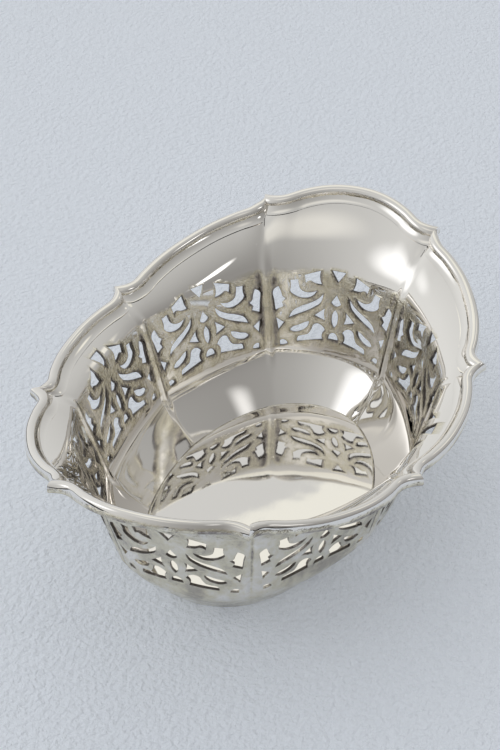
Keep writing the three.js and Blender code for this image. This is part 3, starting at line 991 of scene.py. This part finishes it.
@dataclass
class RimWire:
    """One length of moulded wire along a panel's lip: a broad roll and a soft inner band.

    Its section is measured out along the sheet from the lip's edge, and up from the sheet's
    inner face. Each film is an amount of tarnish, from 0 to 1; the valley and under films are
    painted shade as well as tarnish.
    """

    form: SheetForm
    finish: bpy.types.Material
    place: WirePlace
    width: float = 4.1
    lip: float = 0.6  # how far the roll stands out past the sheet's edge
    roll_height: float = 1.5
    roll_turn_share: float = 0.94
    band_width: float = 1.9
    valley_height: float = 0.6
    sink: float = 0.03  # how far the inner edge lies below the sheet's face
    drop: float = 0.85  # how far the roll hangs down beside the sheet's edge
    seat: float = 0.02  # height of the bottom's outer corner over the sheet's face
    edge_gap: float = 0.05
    mitre_gap: float = 0.07
    beak_length: float = 0.05
    beak_start_share: float = 0.78
    beak_foot: float = 1.1  # distance from the cusp within which the frames turn evenly
    # painted shade, with tarnish, in the valley and under the roll
    valley_shade_and_tarnish: float = 0.3
    valley_shade_reach: float = 0.3
    under_shade_and_tarnish: float = 0.45
    band_steps: int = 15
    roll_steps: int = 24
    under_steps: int = 10
    station_count: int = 57
    station_bunching: float = 1.35
    edge_probe: float = 0.004
    merge_distance: float = 1e-7

    @property
    def inner(self) -> float:
        """Where the wire's band begins."""
        return self.lip - self.width

    @property
    def valley(self) -> float:
        """Where the band meets the roll."""
        return self.inner + self.band_width

    def section(self) -> list[np.ndarray]:
        """Draw the wire's section.

        Returns:
            Its smooth runs in order: band, bridge, roll with its under side, back and bottom,
            each as places outwards and up.
        """
        share = np.linspace(0, 1, self.band_steps)
        band = np.stack([self.inner + self.band_width * share,
                         mix(-self.sink, self.valley_height, share ** 2)], -1)
        roll_half = (self.lip - self.valley) / 2
        turn = math.pi * (self.roll_turn_share
                          - self.roll_turn_share * np.linspace(0, 1, self.roll_steps))
        rise = self.roll_height - self.valley_height
        roll = np.stack([self.valley + roll_half * (1 + np.cos(turn)),
                         self.valley_height + rise * np.sin(turn)], -1)
        under_turn = np.linspace(0, math.pi / 2, self.under_steps)[1:]
        under = np.stack([
            self.edge_gap + (self.lip - self.edge_gap) * np.cos(under_turn),
            self.valley_height - (self.valley_height + self.drop) * np.sin(under_turn)], -1)
        outside = np.concatenate([roll, under])
        corner = np.array([self.edge_gap, self.seat])
        return [band, np.stack([band[-1], outside[0]]), outside,
                np.stack([outside[-1], corner]), np.stack([corner, band[0]])]

    def film(self, across: np.ndarray, up: np.ndarray) -> np.ndarray:
        """Find how dark the valley and the roll's outer and under side are painted: shade, with
        tarnish.

        Args:
            across: Places outwards on the section.
            up: Their heights.

        Returns:
            Amount of painted shade and tarnish at each place.
        """
        # Darker in the valley and under the roll's outer half: painted shade, with tarnish.
        from_valley = np.hypot(across - self.valley, up - self.valley_height)
        in_valley = self.valley_shade_and_tarnish * (1 - ease(from_valley / self.valley_shade_reach))
        below = ease((self.valley_height - up) / (self.valley_height + self.drop))
        outer_half = across > (self.valley + self.lip) / 2
        return in_valley + self.under_shade_and_tarnish * below * outer_half

    def lip_frames(self, u: np.ndarray) -> tuple[np.ndarray, np.ndarray, np.ndarray,
                                                 np.ndarray]:
        """Find frames along the lip's edge, as the lip itself gives them.

        Args:
            u: Shares of half a panel from its middle, below 0 on its first half.

        Returns:
            Points on the inner face, unit ways out along the sheet, unit normals, and how far
            the way out has turned into the plane in which two lengths meet.
        """
        ring = self.place.value + u / 2
        top = np.full_like(ring, Level.LIP)
        probe, surface = self.edge_probe, self.form.smooth_point
        point = self.form.face_point(ring, top, Face.INNER.value)
        along = unit(surface(ring + probe, top) - surface(ring - probe, top))
        slope = unit(surface(ring, top) - surface(ring, top - probe))
        turn = ease((np.abs(u) - self.beak_start_share) / (1 - self.beak_start_share))
        square = unit(slope - np.sum(slope * along, -1, keepdims=True) * along)
        out = mix(square, slope, turn[:, None])
        return point, out, self.form.slopes(surface, ring, top), turn

    def edge_frames(self, u: np.ndarray) -> tuple[np.ndarray, np.ndarray, np.ndarray,
                                                  np.ndarray]:
        """Find frames along the lip's edge that turn evenly from a beak's foot to its cusp.

        Args:
            u: Shares of half a panel from its middle, below 0 on its first half.

        Returns:
            What lip_frames returns.
        """
        foot = 1 - self.beak_foot / self.form.panel_half
        point, out, normal, turn = self.lip_frames(u)
        ends = np.abs(u) > foot
        side = np.sign(u[ends])
        _, foot_out, foot_normal, foot_turn = self.lip_frames(side * foot)
        _, cusp_out, cusp_normal, cusp_turn = self.lip_frames(side)
        share = (np.abs(u[ends]) - foot) / (1 - foot)
        out[ends] = mix(foot_out, cusp_out, share[:, None])
        normal[ends] = mix(foot_normal, cusp_normal, share[:, None])
        turn[ends] = mix(foot_turn, cusp_turn, share)
        return point, unit(out), unit(normal), turn

    def build(self) -> bpy.types.Object:
        """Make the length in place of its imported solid.

        Returns:
            The finished piece.
        """
        spread = np.linspace(-1, 1, self.station_count)
        end = 1 - self.mitre_gap / 2 / self.form.panel_half
        u = np.sign(spread) * (1 - (1 - np.abs(spread)) ** self.station_bunching) * end
        point, out, normal, turn = self.edge_frames(u)
        parts, strips = MeshParts(), []
        for run in self.section():
            across, up = run[:, 0], run[:, 1]
            share = (across - self.inner) / self.width
            drawn_out = (self.beak_length + self.form.cusp_set_back) * turn[:, None] * share ** 2
            places = (point[:, None] + out[:, None] * (across + drawn_out)[..., None]
                      + normal[:, None] * up[:, None])
            looks = unit(np.cross(np.gradient(places, axis=0), np.gradient(places, axis=1)))
            parts.grid(places, looks, tarnish_and_shade=self.film(across, up)[None, :])
            strips.append(places)
        loops = np.concatenate([places[:, :-1] for places in strips], axis=1)
        self.turn_outwards(parts, loops)
        self.close_ends(parts, loops)
        return self.dress(parts.build(self.place.node + "_moulded", self.finish))

    @staticmethod
    def turn_outwards(parts: MeshParts, loops: np.ndarray) -> None:
        """Point all normals out of the metal.

        Args:
            parts: The strips of the wire.
            loops: Its closed section at each station.
        """
        centre = loops.mean(axis=1)
        for i, (points, normals) in enumerate(zip(parts.points, parts.normals)):
            away = points.reshape(len(loops), -1, 3) - centre[:, None]
            if np.sum(away * normals.reshape(len(loops), -1, 3)) < 0:
                parts.normals[i] = -normals
                parts.faces[i] = parts.faces[i][:, ::-1]

    def close_ends(self, parts: MeshParts, loops: np.ndarray) -> None:
        """Close both ends of the wire with flat faces.

        Args:
            parts: The strips of the wire, which get the faces.
            loops: Its closed section at each station.
        """
        for end, inward in ((0, 1), (-1, -2)):
            loop = loops[end]
            look = unit((loop - loops[inward]).mean(axis=0))
            flat = loop - loop.mean(axis=0)
            frame_x = unit(flat[0] - np.dot(flat[0], look) * look)
            frame_y = np.cross(look, frame_x)
            drawn = [Vector((float(np.dot(p, frame_x)), float(np.dot(p, frame_y))))
                     for p in flat]
            edges = [(i, (i + 1) % len(drawn)) for i in range(len(drawn))]
            made = delaunay_2d_cdt(drawn, edges, [], Fill.INSIDE.value, self.merge_distance)
            parts.add(loop, np.broadcast_to(look, loop.shape),
                      np.array([tuple(f) for f in made[2]]))

    def dress(self, piece: bpy.types.Object) -> bpy.types.Object:
        """Set the length on its body, in place of its imported node.

        Args:
            piece: The length's object.

        Returns:
            The same object.
        """
        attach(piece, "root")
        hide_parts(self.place.node)
        return piece


@dataclass(frozen=True)
class RaisedSilver:
    """Sterling silver sheet, raised by hammer, planished and hand polished.

    It gives the eye a bright, barely warm mirror that wavers slightly over the hammer's old
    marks, with wiping scratches, a thin straw-coloured bloom on faces that a cloth only half
    reaches, and a grey-brown crust of sulphide in sawn edges and grooves. The same dark stages
    also paint shade in the wire's valley, under its roll and beside the ribs. Real wiping
    scratches are finer than a hair and are drawn as coarse as they need to be to show. Sizes
    and depths are in millimetres, and the stages are colours by the amount of tarnish and
    painted shade.
    """

    name: str = "sterling_silver_raised_and_polished"
    stages: tuple[tuple[float, str], ...] = (
        (0.05, "#F5F2EE"), (0.28, "#E2DCC9"), (0.55, "#AEA8A4"), (0.85, "#645E59"))
    roughness: float = 0.02
    sulphide_roughness: float = 0.34
    bloom_size: float = 7.0
    bloom_detail: float = 6.0
    bloom_harshness: float = 0.65
    bloom_range: tuple[float, float] = (0.35, 0.65)
    unevenness: float = 0.75
    faintest: float = 0.07
    faintest_range: tuple[float, float] = (0.45, 0.75)
    hammer_mark: float = 8.0
    hammer_depth: float = 0.022
    hammer_detail: float = 1.0
    scratch_width: float = 0.12
    scratch_length: float = 4.0
    scratch_depth: float = 0.002
    scratch_strength: float = 0.25
    scratch_detail: float = 2.0
    scratch_turn: tuple[float, float, float] = (0.3, 0.5, 0.7)
    crust_start: float = 0.1
    crust_size: float = 0.65
    crust_depth: float = 0.9
    crust_detail: float = 3.0

    def build(self) -> bpy.types.Material:
        """Make the material.

        Returns:
            The new material.
        """
        material = bare_material(self.name)
        tree = material.node_tree
        place = add_node(tree, "ShaderNodeTexCoord").outputs["Object"]
        amount = self.tarnish_and_shade_amount(tree, place)
        colour = add_node(tree, "ShaderNodeValToRGB", {"Fac": amount})
        fill_ramp(colour, self.stages)
        rough = add_node(tree, "ShaderNodeMapRange", {
            "Value": amount, "To Min": self.roughness, "To Max": self.sulphide_roughness})
        shader = add_node(tree, "ShaderNodeBsdfPrincipled", {
            "Base Color": colour.outputs["Color"], "Metallic": 1.0,
            "Roughness": rough.outputs["Result"],
            "Normal": self.worked_normal(tree, place, amount)})
        add_node(tree, "ShaderNodeOutputMaterial", {"Surface": shader.outputs["BSDF"]})
        return material

    def tarnish_and_shade_amount(self, tree: bpy.types.NodeTree,
                       place: bpy.types.NodeSocket) -> bpy.types.NodeSocket:
        """Make the mesh's tarnish and painted shade uneven, and add a faint tarnish that lies
        everywhere.

        Args:
            tree: The material's node tree.
            place: Place on the object.

        Returns:
            Amount of tarnish and painted shade.
        """
        # The mesh's attribute holds tarnish, and painted shade in the wire's valley, under its roll
        # and beside the ribs.
        stored_tarnish_and_shade = add_node(tree, "ShaderNodeAttribute", attribute_name="tarnish_and_shade").outputs["Fac"]
        patches = add_node(tree, "ShaderNodeTexNoise", {
            "Vector": place, "Scale": 1 / (self.bloom_size * MILLIMETRE),
            "Detail": self.bloom_detail, "Roughness": self.bloom_harshness}).outputs["Fac"]
        uneven = add_node(tree, "ShaderNodeMapRange", {
            "Value": patches, "From Min": self.bloom_range[0], "From Max": self.bloom_range[1],
            "To Min": 1 - self.unevenness, "To Max": 1 + self.unevenness})
        faint = add_node(tree, "ShaderNodeMapRange", {
            "Value": patches, "From Min": self.faintest_range[0],
            "From Max": self.faintest_range[1], "To Max": self.faintest})
        amount = add_node(tree, "ShaderNodeMath", {
            0: stored_tarnish_and_shade, 1: uneven.outputs["Result"], 2: faint.outputs["Result"]},
            operation="MULTIPLY_ADD")
        return amount.outputs["Value"]

    def worked_normal(self, tree: bpy.types.NodeTree, place: bpy.types.NodeSocket,
                      amount: bpy.types.NodeSocket) -> bpy.types.NodeSocket:
        """Lay hammer marks, wiping scratches and the crust of the tarnish over each other.

        Args:
            tree: The material's node tree.
            place: Place on the object.
            amount: Amount of tarnish and painted shade.

        Returns:
            The normal that the light meets.
        """
        hammered = add_node(tree, "ShaderNodeTexNoise", {
            "Vector": place, "Scale": 1 / (self.hammer_mark * MILLIMETRE),
            "Detail": self.hammer_detail})
        wave = add_node(tree, "ShaderNodeBump", {
            "Height": hammered.outputs["Fac"], "Strength": 1.0,
            "Distance": self.hammer_depth * MILLIMETRE})
        stretched = add_node(tree, "ShaderNodeMapping", {
            "Vector": place, "Rotation": self.scratch_turn,
            "Scale": (1 / (self.scratch_length * MILLIMETRE),
                      1 / (self.scratch_width * MILLIMETRE),
                      1 / (self.scratch_width * MILLIMETRE))})
        scratches = add_node(tree, "ShaderNodeTexNoise", {
            "Vector": stretched.outputs["Vector"], "Scale": 1.0, "Detail": self.scratch_detail})
        wiped = add_node(tree, "ShaderNodeBump", {
            "Height": scratches.outputs["Fac"], "Strength": self.scratch_strength,
            "Distance": self.scratch_depth * MILLIMETRE, "Normal": wave.outputs["Normal"]})
        crust = add_node(tree, "ShaderNodeTexNoise", {
            "Vector": place, "Scale": 1 / (self.crust_size * MILLIMETRE),
            "Detail": self.crust_detail})
        thick = add_node(tree, "ShaderNodeMapRange", {
            "Value": amount, "From Min": self.crust_start, "To Max": 1 - self.crust_start})
        laid = add_node(tree, "ShaderNodeMath", {
            0: thick.outputs["Result"], 1: crust.outputs["Fac"]}, operation="MULTIPLY")
        crusted = add_node(tree, "ShaderNodeBump", {
            "Height": laid.outputs["Value"], "Strength": 1.0,
            "Distance": self.crust_depth * MILLIMETRE, "Normal": wiped.outputs["Normal"]})
        return crusted.outputs["Normal"]


@dataclass(frozen=True)
class TablePaper:
    """Thick uncoated white paper with a pressed grain, laid under the dish.

    It gives the eye a soft, faintly cool white that isn't quite even, on which the dish's shadow
    lies. Grain and its depth are in millimetres.
    """

    name: str = "white_paper_embossed"
    colour: str = "#E1E7F1"
    grain: float = 1.2
    grain_depth: float = 1.2
    grain_detail: float = 3.0
    grain_harshness: float = 0.55
    roughness: float = 0.85
    glow: float = 0.24

    def build(self) -> bpy.types.Material:
        """Make the material.

        Returns:
            The new material.
        """
        material = bare_material(self.name)
        tree = material.node_tree
        place = add_node(tree, "ShaderNodeTexCoord").outputs["Object"]
        pressed = add_node(tree, "ShaderNodeTexNoise", {
            "Vector": place, "Scale": 1 / (self.grain * MILLIMETRE),
            "Detail": self.grain_detail, "Roughness": self.grain_harshness})
        bump = add_node(tree, "ShaderNodeBump", {
            "Height": pressed.outputs["Fac"], "Strength": 1.0,
            "Distance": self.grain_depth * MILLIMETRE})
        # The glow makes the paper pale to the camera and in the metal, but lights nothing.
        rays = add_node(tree, "ShaderNodeLightPath").outputs
        seen = add_node(tree, "ShaderNodeMath", {
            0: rays["Is Camera Ray"], 1: rays["Is Glossy Ray"]}, operation="ADD")
        seen = add_node(tree, "ShaderNodeMath", {
            0: seen.outputs["Value"], 1: rays["Is Transmission Ray"]}, operation="ADD",
            use_clamp=True)
        glow = add_node(tree, "ShaderNodeMath", {0: seen.outputs["Value"], 1: self.glow},
                        operation="MULTIPLY")
        shader = add_node(tree, "ShaderNodeBsdfPrincipled", {
            "Base Color": linear_colour(self.colour), "Roughness": self.roughness,
            "Normal": bump.outputs["Normal"], "Emission Color": linear_colour(self.colour),
            "Emission Strength": glow.outputs["Value"]})
        add_node(tree, "ShaderNodeOutputMaterial", {"Surface": shader.outputs["BSDF"]})
        return material


@dataclass(frozen=True)
class BlackCollar:
    """Low collar of matt black card, standing round the table outside the picture.

    It gives the eye the dark lines along the wires by which polished silver is told. Its radius
    and height are in metres, the place and width of its gap in degrees.
    """

    name: str = "black_card_matt"
    colour: str = "#2A2725"
    roughness: float = 0.9
    radius: float = 0.75
    height: float = 0.075
    gap_azimuth: float = 8.0
    gap_width: float = 50.0
    side_count: int = 64

    def build_card(self) -> bpy.types.Material:
        """Make the material.

        Returns:
            The new material.
        """
        material = bare_material(self.name)
        shader = add_node(material.node_tree, "ShaderNodeBsdfPrincipled", {
            "Base Color": linear_colour(self.colour), "Roughness": self.roughness})
        add_node(material.node_tree, "ShaderNodeOutputMaterial",
                 {"Surface": shader.outputs["BSDF"]})
        return material

    def build(self) -> bpy.types.Object:
        """Stand the collar on the table, where the metal sees it and the camera doesn't.

        Returns:
            The collar.
        """
        turn = np.radians(self.gap_azimuth + np.linspace(
            self.gap_width / 2, 360 - self.gap_width / 2, self.side_count))
        ring = np.stack([np.cos(turn), np.sin(turn)], -1) * self.radius
        points = [(x, y, z) for z in (0.0, self.height) for x, y in ring]
        count = self.side_count
        faces = [(i, i + 1, i + 1 + count, i + count) for i in range(count - 1)]
        collar = stage_mesh("black_collar", points, faces, self.build_card())
        collar.visible_camera = collar.visible_diffuse = False
        return collar


@dataclass(frozen=True)
class Softbox:
    """A rectangular diffused lamp, aimed at a point of the dish.

    Angles are in degrees and sizes in metres. A soft-edged lamp glows less towards its edges: it
    is full up to one share of its width and height from its middle, and dark at the other.
    """

    name: str
    azimuth: float
    elevation: float
    distance: float
    width: float
    height: float
    brightness: float
    colour: str
    turn: float = 0.0
    soft_edged: bool = True
    full_share: float = 0.12
    dark_share: float = 0.5

    def build(self, aim: Vector) -> bpy.types.Object:
        """Make the lamp.

        Args:
            aim: Point that it looks at, in metres.

        Returns:
            The lamp, linked into the scene.
        """
        lamp = bpy.data.lights.new(self.name, "AREA")
        lamp.shape = "RECTANGLE"
        lamp.size, lamp.size_y = self.width, self.height
        lamp.energy = self.brightness * math.pi * self.width * self.height
        lamp.color = linear_colour(self.colour)[:3]
        if self.soft_edged:
            self.soften(lamp)
        holder = link_object(self.name, lamp)
        azimuth, elevation = math.radians(self.azimuth), math.radians(self.elevation)
        away = Vector((math.cos(azimuth) * math.cos(elevation),
                       math.sin(azimuth) * math.cos(elevation), math.sin(elevation)))
        holder.location = aim + away * self.distance
        holder.rotation_mode = "QUATERNION"
        holder.rotation_quaternion = (-away).to_track_quat("-Z", "Y") @ Matrix.Rotation(
            math.radians(self.turn), 4, "Z").to_quaternion()
        return holder

    def soften(self, lamp: bpy.types.Light) -> None:
        """Let the cloth glow less towards its edges, as over a single bulb behind its middle.

        Args:
            lamp: The lamp's data.
        """
        lamp.use_nodes = True
        tree = lamp.node_tree
        glow = next(n for n in tree.nodes if n.type == "EMISSION")
        # Parametric runs from 0 to 1 over the lamp's width and height.
        place = add_node(tree, "ShaderNodeNewGeometry").outputs["Parametric"]
        away = add_node(tree, "ShaderNodeVectorMath", {0: place, 1: (0.5, 0.5, 0.0)},
                        operation="DISTANCE")
        share = add_node(tree, "ShaderNodeMapRange", {
            "Value": away.outputs["Value"], "From Min": self.dark_share,
            "From Max": self.full_share}, interpolation_type="SMOOTHSTEP")
        tree.links.new(share.outputs["Result"], glow.inputs["Strength"])


@dataclass(frozen=True)
class Studio:
    """Paper-covered table, black collar, soft lamps, grey room and camera.

    The table's size, the lamps' aim and the clip distances are in metres. The gap under the dish,
    the camera's target and distance, its lens and its sensor are in millimetres. Angles are in
    degrees.
    """

    paper: bpy.types.Material
    table_size: float = 8.0
    table_gap: float = 0.03
    room_dark: str = "#949391"
    room_bright: str = "#E4E5E4"
    room_reach: float = 0.9
    window_azimuth: float = 75.0
    lamp_aim: tuple[float, float, float] = (0.0, 0.0, 0.02)
    lamps: tuple[Softbox, ...] = (
        Softbox("window_diffuser", azimuth=112, elevation=33, distance=0.7, width=0.66,
                height=0.56, brightness=0.62, colour="#FBFCFF"),
        Softbox("strip_softbox", azimuth=-98, elevation=46, distance=0.8, width=0.44,
                height=0.15, brightness=2.0, colour="#FFFFFF", turn=-43),
        Softbox("cream_diffuser", azimuth=25, elevation=56, distance=1.2, width=0.6,
                height=0.686, brightness=0.24, colour="#FFFBDE", turn=18.5, soft_edged=False),
        Softbox("ceiling_diffuser", azimuth=173, elevation=66, distance=1.2, width=1.1,
                height=0.66, brightness=0.25, colour="#FFFCEF"),
        Softbox("bounce_card", azimuth=-22, elevation=40, distance=1.0, width=0.3,
                height=0.24, brightness=0.4, colour="#FFFAE6"),
    )
    camera_azimuth: float = -67.193
    camera_elevation: float = 35.77
    camera_roll: float = -1.575
    camera_target: tuple[float, float, float] = (15.88, 8.56, 18.25)
    camera_distance: float = 466.19
    lens: float = 110.15
    sensor_width: float = 36.0
    clip_start: float = 0.01
    clip_end: float = 20.0

    def build(self) -> None:
        """Make the whole studio."""
        self.build_table()
        BlackCollar().build()
        self.build_room()
        for lamp in self.lamps:
            lamp.build(Vector(self.lamp_aim))
        self.build_camera()
        bpy.context.scene.view_settings.view_transform = "Standard"

    def build_table(self) -> None:
        """Lay the paper just under the dish."""
        half, low = self.table_size / 2, -self.table_gap * MILLIMETRE
        stage_mesh("table_paper", [(-half, -half, low), (half, -half, low), (half, half, low),
                                   (-half, half, low)], [(0, 1, 2, 3)], self.paper)

    def build_room(self) -> None:
        """Surround the table with a plain room, brighter on the window's side."""
        world = bpy.data.worlds.new("grey_room")
        bpy.context.scene.world = world
        world.use_nodes = True
        tree = world.node_tree
        tree.nodes.clear()
        way = add_node(tree, "ShaderNodeTexCoord").outputs["Generated"]
        side = math.radians(self.window_azimuth)
        toward = add_node(tree, "ShaderNodeVectorMath", {
            0: way, 1: (math.cos(side), math.sin(side), 0.0)}, operation="DOT_PRODUCT")
        share = add_node(tree, "ShaderNodeMapRange", {
            "Value": toward.outputs["Value"], "From Min": -self.room_reach,
            "From Max": self.room_reach})
        # Inputs 6 and 7 and output 2 are the ones of the mix node that carry colours.
        colour = add_node(tree, "ShaderNodeMix", {
            0: share.outputs["Result"], 6: linear_colour(self.room_dark),
            7: linear_colour(self.room_bright)}, data_type="RGBA")
        light = add_node(tree, "ShaderNodeBackground", {"Color": colour.outputs[2],
                                                        "Strength": 1.0})
        add_node(tree, "ShaderNodeOutputWorld", {"Surface": light.outputs["Background"]})

    def build_camera(self) -> None:
        """Set the camera where the photograph was taken from."""
        azimuth, elevation = map(math.radians, (self.camera_azimuth, self.camera_elevation))
        back = Vector((math.sin(azimuth) * math.cos(elevation),
                       -math.cos(azimuth) * math.cos(elevation), math.sin(elevation)))
        right = (-back).cross(Vector((0, 0, 1))).normalized()
        up = right.cross(-back)
        roll = math.radians(self.camera_roll)
        across = right * math.cos(roll) + up * math.sin(roll)
        upward = up * math.cos(roll) - right * math.sin(roll)
        place = (Vector(self.camera_target) + back * self.camera_distance) * MILLIMETRE
        data = bpy.data.cameras.new("camera")
        data.lens, data.sensor_width = self.lens, self.sensor_width
        data.clip_start, data.clip_end = self.clip_start, self.clip_end
        camera = link_object("camera", data)
        camera.matrix_world = Matrix.Translation(place) @ Matrix(
            (across, upward, back)).transposed().to_4x4()
        bpy.context.scene.camera = camera


def main() -> None:
    """Build the dish and its studio."""
    logging.basicConfig(level=logging.INFO, format="%(message)s")
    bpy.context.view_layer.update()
    form = SheetForm()
    silver = RaisedSilver().build()
    wires = [RimWire(form, silver, place) for place in WirePlace]
    for part in (PiercedBowl(form, silver), *wires):
        piece = part.build()
        log.info("%s: %d faces", piece.name, len(piece.data.polygons))
    Studio(TablePaper().build()).build()
    log.info("studio built")


if __name__ == "__main__":
    main()
